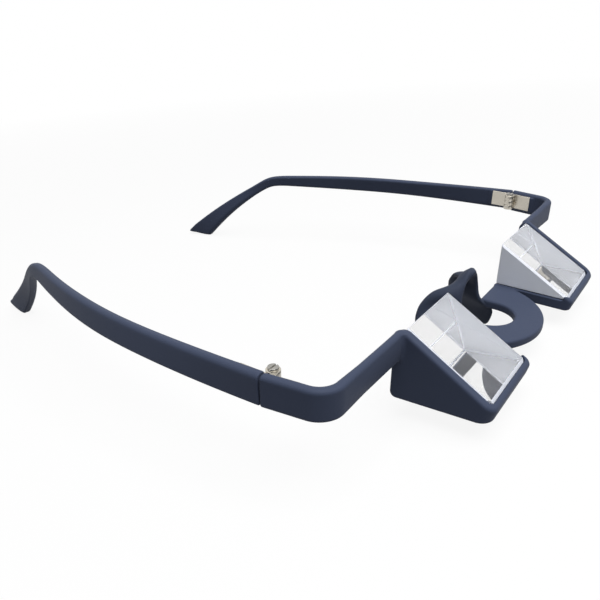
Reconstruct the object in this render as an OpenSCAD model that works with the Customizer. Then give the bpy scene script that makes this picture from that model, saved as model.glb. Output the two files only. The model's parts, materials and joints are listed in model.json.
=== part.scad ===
// Prism glasses for looking upwards with a level head.
// Two 30 degree prisms sit in the front moulding, a soft saddle rests on the nose,
// and two folding temples run back over the ears on three-knuckle metal hinges.
// The shapes are drawn as worn: x to the wearer's left, y backwards, z up, with the
// prisms' base plane at z = 0 and their back faces at y = 0. The last step tips the
// whole pair forward until the saddle and both temple tips stand on a table.

/* [Prisms] */
// Distance between the centres of the two prisms, as between the wearer's pupils
pupil_distance = 63; // [60:0.5:68]
// Width of each prism
prism_w = 22.8; // [20:0.2:24]
// Height of each prism's back face
prism_h = 12.2; // [11:0.1:13]
// Angle at each prism's front edge
prism_angle = 30; // [28:0.5:32]
// Width of the polished bevel along the prism's edges
prism_bevel = 0.3; // [0.2:0.1:0.7]
// Thickness of the clear glue film that holds each prism
glue_t = 0.2; // [0.1:0.05:0.3]

/* [Front moulding] */
// Thickness of each holder's outer wall
wall_t = 2.6; // [2:0.1:3.2]
// Thickness of the plate under each prism
plate_t = 3; // [2.7:0.1:3.5]
// Thickness of the lip in front of each prism
lip_t = 1.4; // [1.2:0.1:2]
// How far the holder's rim stands above the prism's long face
rim_h = 0.8; // [0.4:0.1:1]
// How far the outer wall reaches below the plate at the back
skirt_h = 2; // [1:0.1:2.2]
// Slope of the outer wall's lower edge
skirt_slope = 3.4; // [1:0.2:4]
// Height of the brow bars
bar_h = 7.6; // [7.4:0.1:8.6]
// Thickness of the brow bars and end pieces
bar_t = 2.5; // [2.2:0.1:2.8]
// Height of the brow bars' top edge above the prisms' base plane
bar_top = 12.9; // [12.6:0.1:13.2]
// Width of the front over both end pieces at the hinges
frame_w = 155.8; // [150:0.5:160]
// Outer radius of the corner between brow bar and end piece
corner_r = 6.4; // [5.5:0.1:7]
// Outward lean of the end pieces
end_lean = 8; // [5:0.5:10]
// Distance from the prisms' back faces to the hinge line
hinge_back = 15.1; // [14.5:0.1:17]

/* [Bridge] */
// Thickness of the bridge plate
bridge_t = 2.6; // [2.3:0.1:2.7]
// How far the bridge plate's round front edge reaches in front of the prisms' back faces
bridge_reach = 19.3; // [18.8:0.1:20]
// The same where that edge meets the holders
bridge_side = 6; // [5:0.1:7]
// Width of the slot for the nose saddle
slot_w = 14.5; // [14:0.1:15]
// Distance from the prisms' back faces to the centre of the slot's round end
slot_depth = 4.5; // [4:0.1:5]

/* [Nose saddle] */
// Height of the saddle's crest above the prisms' base plane
saddle_top = 10.8; // [10.4:0.1:11.4]
// How far the wings reach below that plane
saddle_drop = 9.5; // [9:0.1:10]
// Half the saddle's width over its flared back edges
saddle_half = 13.2; // [12.8:0.1:14]
// How far the flared back edges stand behind the prisms' back faces
saddle_back = 11; // [10.4:0.1:11.6]
// Thickness of the saddle's soft wall
saddle_t = 2.2; // [2:0.1:2.6]
// Clearance between the saddle's grooves and the bridge plate
groove_gap = 0.05; // [0.03:0.01:0.08]

/* [Temples] */
// Length of each temple along its curve, from the hinge line to the rear corner
temple_l = 153; // [148:0.5:160]
// Thickness of the temples
temple_t = 2.6; // [2.4:0.1:3]
// Thickness of the flared tips
tip_t = 3.3; // [2.8:0.1:3.6]
// Height of the temples at the hinge
temple_h = 7.2; // [6.8:0.1:7.4]
// Height of the temples over the ear
ear_h = 4.4; // [4.1:0.1:4.9]
// Height of the flared tips
tip_h = 8.6; // [7.8:0.1:9.2]
// Distance from the hinge line to the start of the bend over the ear
ear_start = 94; // [90:0.5:98]
// Length of the bend over the ear
ear_l = 14; // [12:0.5:16]
// Downward slope of the straight run
run_slope = 2.8; // [2:0.1:4]
// Downward slope at the tip
tip_slope = 43; // [38:0.5:46]
// Angle of the slanted cut at the tip, against the temple's own line
tip_cut = 47; // [42:1:52]

/* [Hinges] */
// Outer radius of the hinge knuckles
knuckle_r = 1.6; // [1.5:0.05:1.8]
// Height of the hinge plates and of the three knuckles together
leaf_h = 5.2; // [4.8:0.1:5.4]
// Thickness of the hinge plates
leaf_t = 0.9; // [0.8:0.05:1]
// Length of each hinge plate
leaf_l = 7; // [6.6:0.1:7.4]
// Distance from the top of the temple to the top of the hinge plates
leaf_inset = 0.9; // [0.8:0.1:1]
// Radius of the hinge screw
screw_r = 0.7; // [0.6:0.05:0.8]
// Radius of the screw's head
screw_head_r = 1.2; // [1.1:0.05:1.4]
// Height of the screw's head
screw_head_h = 0.6; // [0.5:0.05:0.7]
// Running clearance around the screw in the temple's knuckle
screw_clear = 0.04; // [0.02:0.01:0.08]
// Gap between the end pieces and the temples when they stand open
split_gap = 0.4; // [0.3:0.05:0.6]

/* [Hidden] */
$fn = 64;
eps = 0.01;
far = 60;

// Prism and holder
prism_d = prism_h / tan(prism_angle);
prism_x = pupil_distance / 2;
ledge = 0.9;
holder_in = prism_x - prism_w / 2 - ledge;
holder_back = 2.2;
side_gap = 0.15;
wall_in = prism_x + prism_w / 2 + side_gap;
wall_out = wall_in + wall_t;
plate_top = -glue_t;
plate_bottom = plate_top - plate_t;
bar_front = -0.5;
bar_back = bar_front + bar_t;
lip_back = -(prism_d + side_gap);
lip_front = lip_back - lip_t;
holder_corner = 3;
ledge_corner = 1.8;
edge_round = 0.9;
edge_break = 0.7;

// Hinge line
hinge_z = bar_top - leaf_inset - leaf_h / 2;
knuckle_gap = 0.2;
face_u = knuckle_r + knuckle_gap;
boss_t = 0.6;
hinge_x = frame_w / 2 - temple_t - boss_t - face_u;
hinge_y = hinge_back;
knuckle_play = 0.05;
knuckle_h = (leaf_h - 2 * knuckle_play) / 3;
stud_r = 1;
stud_l = 0.8;
pocket_gap = 0.03;
boss_l = leaf_l + 0.8;
boss_edge = 1.05;

// Corner of the brow bar and the end piece, in plan
end_out = (frame_w / 2 - hinge_x) * cos(end_lean);
corner_u = end_out - corner_r;
corner_y = bar_front + corner_r;
corner_v = (corner_y - hinge_y + corner_u * sin(end_lean)) / cos(end_lean);
corner_x = hinge_x + corner_u * cos(end_lean) + corner_v * sin(end_lean);
// The corner is drawn a hair larger, and the straight lengths run a little way into it
swell = 0.03;
lap = 0.3;
boss_front = max(corner_v + 0.1, -boss_l - 0.8);
end_cut_slope = atan((bar_h - temple_h) / (hinge_y - corner_y));

function unit(v) = v / norm(v);
function corner_angle(a, p, b) = acos(unit(a - p) * unit(b - p));
function arc_centre(a, p, b, r) =
    p + unit(unit(a - p) + unit(b - p)) * r / sin(corner_angle(a, p, b) / 2);
function tangent(a, p, b, r) = p + unit(a - p) * r / tan(corner_angle(a, p, b) / 2);
function mix(a, b, t) = a + (b - a) * t;
function smooth(t) = let (u = max(0, min(1, t))) u * u * (3 - 2 * u);

// A value at s from a table of [s, value] rows, on a smooth curve through them
function row(table, i) = table[max(0, min(len(table) - 1, i))];
function rate(table, i) =
    (row(table, i + 1)[1] - row(table, i - 1)[1]) / (row(table, i + 1)[0] - row(table, i - 1)[0]);
function span_of(table, s) = max(0, len([for (r = table) if (r[0] <= s) 1]) - 1);
function curve_at(table, s) =
    let (i = min(span_of(table, s), len(table) - 2),
         w = table[i + 1][0] - table[i][0],
         t = max(0, min(1, (s - table[i][0]) / w)))
    (2 * t * t * t - 3 * t * t + 1) * table[i][1]
    + (t * t * t - 2 * t * t + t) * w * rate(table, i)
    + (3 * t * t - 2 * t * t * t) * table[i + 1][1]
    + (t * t * t - t * t) * w * rate(table, i + 1);

// Points round the corner p, from the side towards a to the side towards b
function corner_arc(a, p, b, r, n = 10) =
    let (c = arc_centre(a, p, b, r), u = tangent(a, p, b, r) - c, v = tangent(b, p, a, r) - c,
         turn = acos(unit(u) * unit(v)) * sign(u.x * v.y - u.y * v.x) / n)
    [for (k = [0:n]) let (g = k * turn) c + [u.x * cos(g) - u.y * sin(g), u.x * sin(g) + u.y * cos(g)]];

// Outline of a convex shape with its corners rounded, each by its own radius
module rounded_outline(points, radii) {
    n = len(points);
    polygon([for (i = [0:n - 1])
        each corner_arc(points[(i + n - 1) % n], points[i], points[(i + 1) % n], radii[i])]);
}

module rounded_bar(w, h, r) {
    square([w - 2 * r, h], center = true);
    square([w, h - 2 * r], center = true);
    for (x = [-1, 1], y = [-1, 1])
        translate([x * (w / 2 - r), y * (h / 2 - r)]) circle(r);
}

// Draws an outline of y and z and carries it along x from one place to another
module along_x(from, to) {
    translate([from, 0, 0]) rotate([90, 0, 90]) linear_extrude(to - from) children();
}

// The left side as drawn, or its mirror image on the right
module on_side(side) {
    if (side == "left") children();
    else mirror([1, 0, 0]) children();
}

// Side view of the holder: a wedge over the prism with a short front face
rim_lift = rim_h / cos(prism_angle);
function rim_z(y) = prism_h + y * tan(prism_angle) + rim_lift;
skirt_back = plate_bottom - skirt_h;
function skirt_z(y) = skirt_back - (y - holder_back) * tan(skirt_slope);
lip_foot = lip_front + 0.9;
holder_points = [[holder_back, skirt_back], [holder_back, rim_z(holder_back)],
                 [lip_front, rim_z(lip_front)], [lip_foot, skirt_z(lip_foot)]];
holder_radii = [1.6, 2.4, 1.3, 1.5];

module holder_side(inset = 0) {
    rounded_outline(
        [for (i = [0:3])
            let (a = holder_points[(i + 3) % 4], p = holder_points[i], b = holder_points[(i + 1) % 4])
            arc_centre(a, p, b, inset + eps)],
        [for (r = holder_radii) r - inset * 0.6]);
}

module holder_plan() {
    intersection() {
        translate([holder_in, lip_front])
            square([wall_out - holder_in, holder_back - lip_front]);
        rounded_outline(
            [[holder_in, far], [holder_in, lip_front], [wall_out, lip_front], [wall_out, far]],
            [1, ledge_corner, holder_corner, 1]);
    }
}

module holder() {
    difference() {
        intersection() {
            along_x(holder_in, wall_out - edge_break) holder_side();
            translate([0, 0, -far / 2]) linear_extrude(far) holder_plan();
        }
        translate([holder_in - 1, lip_back, plate_top])
            cube([wall_in - holder_in + 1, far, far]);
        translate([holder_in - 1, lip_front - 1, -far])
            cube([wall_in - holder_in + 1, far, far + plate_bottom]);
        // Only the outer wall reaches farther back than the bridge plate
        translate([holder_in - 1, bridge_back + swell, -far])
            cube([wall_in - holder_in + 1, far, 2 * far]);
    }
    // The outer wall's broken edge, let a little way into the wall
    intersection() {
        hull() {
            along_x(wall_out - edge_break - lap, wall_out - edge_break) holder_side(swell);
            along_x(wall_out - eps, wall_out) holder_side(edge_break);
        }
        translate([0, 0, -far / 2]) linear_extrude(far) holder_plan();
    }
}

module brow_bar() {
    translate([wall_out - wall_t / 2, bar_front + bar_t / 2, bar_top - bar_h / 2])
        rotate([90, 0, 90])
            linear_extrude(corner_x + lap - wall_out + wall_t / 2) rounded_bar(bar_t, bar_h, edge_round);
}

// Turns to the end piece's own line, with the hinge line at the origin
module at_end_piece() {
    translate([hinge_x, hinge_y, 0]) rotate([0, 0, -end_lean]) children();
}

module corner_and_end() {
    difference() {
        union() {
            translate([corner_x, corner_y, bar_top - bar_h / 2]) rotate([0, 0, -90])
                rotate_extrude(angle = 90 - end_lean, $fn = 96)
                    translate([corner_r - bar_t / 2, 0])
                        rounded_bar(bar_t + swell, bar_h + swell, edge_round + swell / 2);
            at_end_piece() {
                translate([end_out - bar_t / 2, corner_v - lap, bar_top - bar_h / 2])
                    rotate([-90, 0, 0]) linear_extrude(2 - corner_v) rounded_bar(bar_t, bar_h, edge_round);
                translate([0, 0, bar_top - bar_h + boss_edge])
                    linear_extrude(bar_h - 2 * boss_edge)
                        polygon([[face_u, 1], [face_u, -boss_l], [end_out - bar_t + 0.2, boss_front],
                                 [end_out - bar_t / 2, boss_front], [end_out - bar_t / 2, 1]]);
            }
        }
        // The end face at the split
        translate([corner_x - far / 2, hinge_y - split_gap / 2, 0]) cube(far);
        // The underside rises from the bar to the lower temple
        translate([corner_x, corner_y, bar_top - bar_h]) rotate([end_cut_slope, 0, 0])
            translate([-far / 2, 0, -far]) cube(far);
        at_end_piece() leaf_pocket(-1);
    }
}

// The front edge is the circle through its foremost point and both holders' inner edges
bridge_bow = bridge_reach - bridge_side;
bridge_r = (holder_in * holder_in + bridge_bow * bridge_bow) / (2 * bridge_bow);
bridge_y = bridge_r - bridge_reach;
bridge_back = 0.3;
bridge_root = 1;

// The bridge plate with its slot, grown by a clearance for what fits round it
module bridge_outline(grow = 0) {
    difference() {
        intersection() {
            translate([0, bridge_y]) circle(bridge_r + grow, $fn = 128);
            translate([-holder_in - bridge_root, -far])
                square([2 * (holder_in + bridge_root), far + bridge_back + grow]);
        }
        translate([0, -slot_depth]) circle(slot_w / 2 - grow);
        translate([-slot_w / 2 + grow, -slot_depth]) square([slot_w - 2 * grow, far]);
    }
}

module bridge_plate(grow = 0) {
    translate([0, 0, plate_top - bridge_t - grow]) linear_extrude(bridge_t + 2 * grow) bridge_outline(grow);
}

module front_frame() {
    color("#2b3242") {
        bridge_plate();
        for (side = ["right", "left"]) on_side(side) {
            holder();
            brow_bar();
            corner_and_end();
        }
    }
}

// A prism lying on its mirrored face, bevelled round both end faces and blunted along
// its front edge
prism_tip = 0.15;
module prism(side) {
    corners = [[0, 0], [0, prism_h], [-prism_d, 0]];
    color("#dfe4e8") on_side(side) hull() {
        along_x(prism_x - prism_w / 2 + prism_bevel, prism_x + prism_w / 2 - prism_bevel) polygon([
            [0, 0], [0, prism_h - prism_tip], [-prism_tip, prism_h - prism_tip * tan(prism_angle)],
            [-prism_d + prism_tip / tan(prism_angle), prism_tip],
            [-prism_d + prism_tip / tan(prism_angle), 0]]);
        along_x(prism_x - prism_w / 2, prism_x + prism_w / 2) polygon([
            for (i = [0:2])
            arc_centre(corners[(i + 2) % 3], corners[i], corners[(i + 1) % 3], prism_bevel)]);
    }
}

glue_margin = 1.2;
module prism_glue(side) {
    color("#f2efe2") on_side(side)
        translate([prism_x - prism_w / 2 + glue_margin, -prism_d + 2 * glue_margin, -glue_t])
            cube([prism_w - 2 * glue_margin, prism_d - 3 * glue_margin, glue_t]);
}

// Nose saddle: a wall bent over the nose, drawn through three rows of stations from the
// crest to the foot of one wing, as shares of its half width, back reach and height.
front_row = [[0, 0.09, 1.05], [0.25, 0.11, 0.82], [0.42, 0.12, 0.43],
             [0.49, -0.01, -0.01], [0.65, -0.37, -0.41], [0.74, -0.37, -1.03]];
middle_row = [[0, 0.17, 0.95], [0.29, 0.3, 0.71], [0.57, 0.46, 0.5],
              [0.62, 0.54, 0.09], [0.79, 0.36, -0.45], [0.9, 0.01, -1.06]];
back_row = [[0, 0.4, 0.8], [0.29, 0.52, 0.54], [0.6, 0.86, 0.43],
            [0.83, 1.06, 0.09], [0.96, 1.03, -0.47], [0.93, 0.54, -0.99]];
saddle_rings = 36;
saddle_sides = 20;

function mirrored(p, s) = [p.x * s, p.y, p.z];
function station(rows, i) =
    i < 0 ? mirrored(rows[-i], -1)
    : i < len(rows) ? rows[i] : 2 * rows[len(rows) - 1] - rows[len(rows) - 2];
function along_row(rows, s) =
    let (u = s * (len(rows) - 1), i = min(floor(u), len(rows) - 2), t = u - i,
         a = station(rows, i - 1), b = station(rows, i),
         c = station(rows, i + 1), d = station(rows, i + 2))
    0.5 * (2 * b + (c - a) * t + (2 * a - 5 * b + 4 * c - d) * t * t
           + (3 * b - a - 3 * c + d) * t * t * t);
function sized(p) =
    [p.x * saddle_half, p.y * saddle_back, p.z * (p.z > 0 ? saddle_top : saddle_drop)];
function wall_point(a, t) =
    let (s = abs(a),
         f = along_row(front_row, s), m = along_row(middle_row, s), b = along_row(back_row, s))
    mirrored(sized(f * (1 - t) * (1 - 2 * t) + m * 4 * t * (1 - t) + b * t * (2 * t - 1)),
             a < 0 ? -1 : 1);
function wall_normal(a, t) =
    let (d = 0.01,
         p = wall_point(a + (a > 0 ? -d : d), t), q = wall_point(a, t),
         r = wall_point(a, t < 0.5 ? t + d : t - d),
         n = cross(q - p, r - q) * (a > 0 ? 1 : -1) * (t < 0.5 ? 1 : -1))
    unit(n);
function flat_round(v, power) = (v < 0 ? -1 : 1) * pow(abs(v), power);
function saddle_ring(a) =
    let (taper = sqrt(max(0, 1 - pow(abs(a), 7))), w = mix(0.12, 1, taper))
    [for (k = [0:saddle_sides - 1])
        let (g = 360 * k / saddle_sides,
             t = 0.5 + 0.5 * w * flat_round(cos(g), 0.8),
             h = saddle_t / 2 * mix(0.35, 1, taper) * flat_round(sin(g), 0.7))
        wall_point(a, t) + wall_normal(a, t) * h];
saddle_steps = [for (i = [0:saddle_rings]) let (u = 2 * i / saddle_rings - 1)
    (u < 0 ? -1 : 1) * (1 - pow(1 - abs(u), 1.25))];
saddle_points = [for (a = saddle_steps) each saddle_ring(a * 0.998)];

// Skin of a tube from its rings' points, each ring the same way round, with flat ends
function tube_faces(rings, sides, flip) = concat(
    [for (i = [0:rings - 1], k = [0:sides - 1])
        let (a = i * sides + k, b = i * sides + (k + 1) % sides)
        each (flip ? [[a, a + sides, b], [b, a + sides, b + sides]]
                   : [[a, b, a + sides], [b, b + sides, a + sides]])],
    [for (end = [0, 1])
        let (f = [for (k = [0:sides - 1]) end * rings * sides + k])
        (end == 1) == flip ? [for (k = [sides - 1:-1:0]) f[k]] : f]);

module nose_saddle() {
    color("#232a38") difference() {
        polyhedron(saddle_points, tube_faces(saddle_rings, saddle_sides, true), convexity = 6);
        bridge_plate(groove_gap);
    }
}

// Temple: its line is stepped off from the hinge with an inward heading and a downward
// slope at each distance, and a rounded section is carried along it.
// The tables' distances are shares of the temple's length.
function over_length(table) = [for (r = table) [r[0] * temple_l, r[1]]];
temple_heading = over_length([[0, 0], [0.255, 5.3], [0.45, 14.5], [0.607, 19.2],
                              [0.679, 17.4], [0.744, 25], [0.823, 23.2], [0.966, 4.2]]);
temple_height = over_length([[0, temple_h], [0.222, mix(temple_h, ear_h, 0.28)],
                             [0.431, mix(temple_h, ear_h, 0.45)], [0.588, mix(temple_h, ear_h, 0.81)],
                             [0.653, ear_h], [0.731, 0.89 * ear_h],
                             [0.823, mix(ear_h, tip_h, 0.16)], [0.966, tip_h]]);
temple_cant = over_length([[0, 0], [0.255, -14], [0.522, -11], [0.679, -9],
                           [0.77, 13.5], [0.862, 12.7], [0.979, -8.6]]);
// Share of the way from the first slope to the last, at shares of the bend's length
temple_bend = [[0, 0], [0.07, 0], [0.5, 0.17], [0.93, 0.67], [1.36, 0.75],
               [1.86, 0.81], [3.07, 0.965], [4.3, 1]];
temple_steps = 84;
temple_sides = 16;
// Corner radii of the section: outer top, inner top, inner bottom, outer bottom
section_radii = [1.2, 0.7, 1.9, 0.5];
tip_blunt = 0.4;
tip_end = temple_l - tip_blunt;
tip_bulge = 1.1;

function slope_at(s) = mix(run_slope, tip_slope, curve_at(temple_bend, (s - ear_start) / ear_l));
function thickness_at(s) = mix(temple_t, tip_t, smooth((s / temple_l - 0.65) / 0.26));
function heading_at(s) = curve_at(temple_heading, s);
function direction_at(s) =
    [-cos(slope_at(s)) * sin(heading_at(s)), cos(slope_at(s)) * cos(heading_at(s)), -sin(slope_at(s))];
temple_start = [frame_w / 2 - temple_t / 2, hinge_y + split_gap / 2, bar_top - temple_h / 2];
step_l = (tip_end - split_gap / 2) / temple_steps;
temple_line = [for (i = 0, p = temple_start; i <= temple_steps;
    p = p + direction_at((i + 0.5) * step_l) * step_l, i = i + 1) p];

// The lower edge runs up to the rear corner along the slanted cut, which bulges a little
function under_at(s) =
    let (half = curve_at(temple_height, s) / 2, cut_l = tip_h / tan(tip_cut),
         x = max(0, min(1, 1 - (temple_l - s) / cut_l)))
    half * (2 * pow(1 - pow(x, tip_bulge), 1 / tip_bulge) - 1);

// One quarter turn of points for each corner of a rounded section
function section(w, top, under) = [for (i = [0:3])
    let (c = [[1, 1], [-1, 1], [-1, -1], [1, -1]][i], q = 90 * i,
         rr = min(section_radii[i], (top + under) / 2 - 0.02),
         y = c.y > 0 ? top - rr : -under + rr)
    for (k = [0:temple_sides / 4 - 1])
        let (g = q + 90 * k / (temple_sides / 4 - 1))
        [c.x * (w / 2 - rr) + rr * cos(g), y + rr * sin(g)]];

function temple_ring(i) =
    let (s = i * step_l, c = curve_at(temple_cant, s), f = heading_at(s), d = direction_at(s),
         out = [cos(f), sin(f), 0], up = cross(out, d),
         w = out * cos(c) - up * sin(c), h = up * cos(c) + out * sin(c))
    [for (q = section(thickness_at(s), curve_at(temple_height, s) / 2, under_at(s)))
        temple_line[i] + w * q.x + h * q.y];
temple_points = [for (i = [0:temple_steps]) each temple_ring(i)];

module temple(side) {
    color("#2b3242") on_side(side) difference() {
        union() {
            polyhedron(temple_points, tube_faces(temple_steps, temple_sides, false), convexity = 6);
            // Boss that carries the hinge plate
            translate([hinge_x, hinge_y, bar_top - temple_h + edge_round])
                linear_extrude(temple_h - 2 * edge_round)
                    polygon([[face_u, split_gap / 2], [face_u, boss_l],
                             [face_u + boss_t + 0.3, boss_l + 1.6], [face_u + boss_t + 0.9, boss_l + 1.6],
                             [face_u + boss_t + 0.9, split_gap / 2]]);
        }
        translate([hinge_x, hinge_y, 0]) leaf_pocket(1);
    }
}

// Recess for a hinge plate and its studs, on the hinge line, forward (-1) or backward (1)
module leaf_pocket(way) {
    g = pocket_gap;
    from = way < 0 ? -leaf_l - g : split_gap / 2 - 1;
    to = way < 0 ? -split_gap / 2 + 1 : leaf_l + g;
    translate([face_u - 1, from, hinge_z - leaf_h / 2 - g])
        cube([leaf_t + 1 + g, to - from, leaf_h + 2 * g]);
    for (z = [-1, 1])
        translate([face_u, way * leaf_l * 0.6, hinge_z + z * leaf_h / 4]) rotate([0, 90, 0])
            cylinder(h = leaf_t + stud_l + g, r = stud_r + g);
}

// A hinge plate, its studs in the plastic and its knuckles at the given levels
module hinge_leaf(way, levels, bore_r) {
    inner = split_gap / 2 + 0.05;
    difference() {
        union() {
            translate([face_u, way < 0 ? -leaf_l : inner, hinge_z - leaf_h / 2])
                cube([leaf_t, leaf_l - inner, leaf_h]);
            for (z = [-1, 1])
                translate([face_u, way * leaf_l * 0.6, hinge_z + z * leaf_h / 4]) rotate([0, 90, 0])
                    cylinder(h = leaf_t + stud_l, r = stud_r);
            for (level = levels) translate([0, 0, hinge_z - leaf_h / 2 + level * (knuckle_h + knuckle_play)]) {
                cylinder(h = knuckle_h, r = knuckle_r);
                translate([0, way < 0 ? -knuckle_r : inner, 0])
                    cube([face_u + leaf_t / 2, knuckle_r - (way < 0 ? inner : inner), knuckle_h]);
            }
        }
        translate([0, 0, hinge_z - leaf_h]) cylinder(h = 2 * leaf_h, r = bore_r);
    }
}

module front_hinge_leaf(side) {
    color("#c9c3b8") on_side(side) at_end_piece() hinge_leaf(-1, [0, 2], screw_r + 0.01);
}

module temple_hinge_leaf(side) {
    color("#c9c3b8") on_side(side)
        translate([hinge_x, hinge_y, 0]) hinge_leaf(1, [1], screw_r + screw_clear);
}

module hinge_screw(side) {
    slot = 0.4;
    head_z = hinge_z + leaf_h / 2;
    color("#b9b6ae") on_side(side) translate([hinge_x, hinge_y, 0]) difference() {
        union() {
            translate([0, 0, hinge_z - leaf_h / 2]) cylinder(h = leaf_h + eps, r = screw_r);
            translate([0, 0, head_z]) cylinder(h = screw_head_h, r = screw_head_r);
        }
        translate([-far / 2, -slot / 2, head_z + screw_head_h / 2]) cube([far, slot, far]);
    }
}

// Standing on a table: the tilt that puts the saddle's feet and the tips on one level
function turned(p, tilt) = [p.x, p.y * cos(tilt) - p.z * sin(tilt), p.y * sin(tilt) + p.z * cos(tilt)];
function lowest(points, tilt) =
    let (z = [for (p = points) turned(p, tilt).z], low = min(z)) points[search(low, z)[0]];
function next_tilt(tilt) =
    let (a = lowest(saddle_points, tilt), b = lowest(temple_points, tilt)) atan((a.z - b.z) / (b.y - a.y));
stand_tilt = next_tilt(next_tilt(next_tilt(6)));
stand_drop = turned(lowest(saddle_points, stand_tilt), stand_tilt).z;
lip_arc = arc_centre(holder_points[1], holder_points[2], holder_points[3], holder_radii[2]);
stand_front = turned([0, lip_arc.x, lip_arc.y], stand_tilt).y - holder_radii[2];
stand_rear = max([for (p = temple_points) turned(p, stand_tilt).y]);

module stand() {
    translate([0, -(stand_front + stand_rear) / 2, -stand_drop]) rotate([stand_tilt, 0, 0]) children();
}

stand() front_frame();
stand() prism("right");  // right_prism
stand() prism("left");  // left_prism
stand() prism_glue("right");  // right_prism_glue
stand() prism_glue("left");  // left_prism_glue
stand() nose_saddle();
stand() temple("right");  // right_temple
stand() temple("left");  // left_temple
stand() front_hinge_leaf("right");  // right_front_hinge_leaf
stand() front_hinge_leaf("left");  // left_front_hinge_leaf
stand() temple_hinge_leaf("right");  // right_temple_hinge_leaf
stand() temple_hinge_leaf("left");  // left_temple_hinge_leaf
stand() hinge_screw("right");  // right_hinge_screw
stand() hinge_screw("left");  // left_hinge_screw
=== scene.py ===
import json
import math
import bpy
import bmesh
import numpy as np
from mathutils import Matrix

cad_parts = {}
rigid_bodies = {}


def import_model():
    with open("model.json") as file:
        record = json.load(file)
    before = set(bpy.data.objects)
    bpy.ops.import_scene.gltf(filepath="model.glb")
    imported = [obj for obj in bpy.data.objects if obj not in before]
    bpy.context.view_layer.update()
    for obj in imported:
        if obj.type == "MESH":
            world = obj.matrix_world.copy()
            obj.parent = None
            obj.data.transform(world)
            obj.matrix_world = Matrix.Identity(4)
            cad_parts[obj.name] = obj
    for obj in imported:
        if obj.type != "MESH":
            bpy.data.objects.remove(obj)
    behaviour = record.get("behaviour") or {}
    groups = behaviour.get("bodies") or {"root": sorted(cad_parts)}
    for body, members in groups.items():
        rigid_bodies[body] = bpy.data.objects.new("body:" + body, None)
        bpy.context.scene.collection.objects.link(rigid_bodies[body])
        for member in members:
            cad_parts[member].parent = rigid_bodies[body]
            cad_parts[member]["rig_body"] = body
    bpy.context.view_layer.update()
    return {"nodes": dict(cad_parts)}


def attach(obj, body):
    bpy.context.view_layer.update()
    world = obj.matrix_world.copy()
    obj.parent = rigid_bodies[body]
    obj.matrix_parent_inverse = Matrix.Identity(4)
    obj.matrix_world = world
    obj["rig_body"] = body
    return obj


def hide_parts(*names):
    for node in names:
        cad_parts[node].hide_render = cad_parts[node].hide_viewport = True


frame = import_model()
print("frame loaded:", len(frame["nodes"]), "nodes")

# Shapes are worked out as worn, in mm: x to the wearer's left, y backwards, z up, with the
# prisms' base plane at z = 0 and their back faces at y = 0, then stood on the table.
standing = {"tilt": 5.44818, "shift": -67.6014, "lift": 10.1845}  # degrees, mm, mm


def tilted(vectors):  # turns about x by the tilt
    turn = math.radians(standing["tilt"])
    x, y, z = np.asarray(vectors, float).T
    return np.stack([x, y * math.cos(turn) - z * math.sin(turn),
                     y * math.sin(turn) + z * math.cos(turn)], -1)


def onTable(points):  # tilts, moves, and goes from mm to metres
    return (tilted(points) + [0, standing["shift"], standing["lift"]]) / 1000


def linearColour(hexCode):  # from sRGB
    value = np.array([int(hexCode[i:i + 2], 16) for i in (1, 3, 5)]) / 255
    line = np.where(value <= 0.04045, value / 12.92, ((value + 0.055) / 1.055) ** 2.4)
    return (*[float(v) for v in line], 1.0)


def addNode(tree, kind, values=None, links=None, **settings):
    node = tree.nodes.new(kind)
    for name, value in settings.items():
        setattr(node, name, value)
    for name, value in (values or {}).items():
        node.inputs[name].default_value = value
    for name, socket in (links or {}).items():
        tree.links.new(socket, node.inputs[name])
    return node


def newMaterial(name):
    material = bpy.data.materials.new(name)
    material.use_nodes = True
    material.node_tree.nodes.clear()
    return material, material.node_tree


def perMm(size):  # texture scale for a pattern whose cells are size mm across
    return 1000 / size


# Nylon moulding with a soft-touch paint: deep navy, matt and even, with hardly any gloss. The
# spark-eroded mould leaves a grain of about 0.1 mm, drawn at 0.35 mm so that it shows at all.
softTouchPaint = {
    "colour": "#424a5f", "shade": "#3e465a", "cloud": 14, "grain": 0.35, "grainRoughness": 0.6,
    "smoothest": 0.5, "roughest": 0.61, "bump": 0.25, "depth": 0.012, "ior": 1.5, "gloss": 0.1,
    "sheen": 0.03, "sheenRoughness": 0.5}

# Thermoplastic elastomer, moulded: a darker navy, duller than the paint, with a little soft
# light in it. Its grain is as fine as the paint's and drawn at 0.5 mm.
mouldedElastomer = {
    "colour": "#373e50", "shade": "#333a4a", "cloud": 9, "grain": 0.5, "grainRoughness": 0.55,
    "smoothest": 0.56, "roughest": 0.68, "bump": 0.2, "depth": 0.01, "ior": 1.48, "gloss": 0.12,
    "sheen": 0.04, "sheenRoughness": 0.6}


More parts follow.
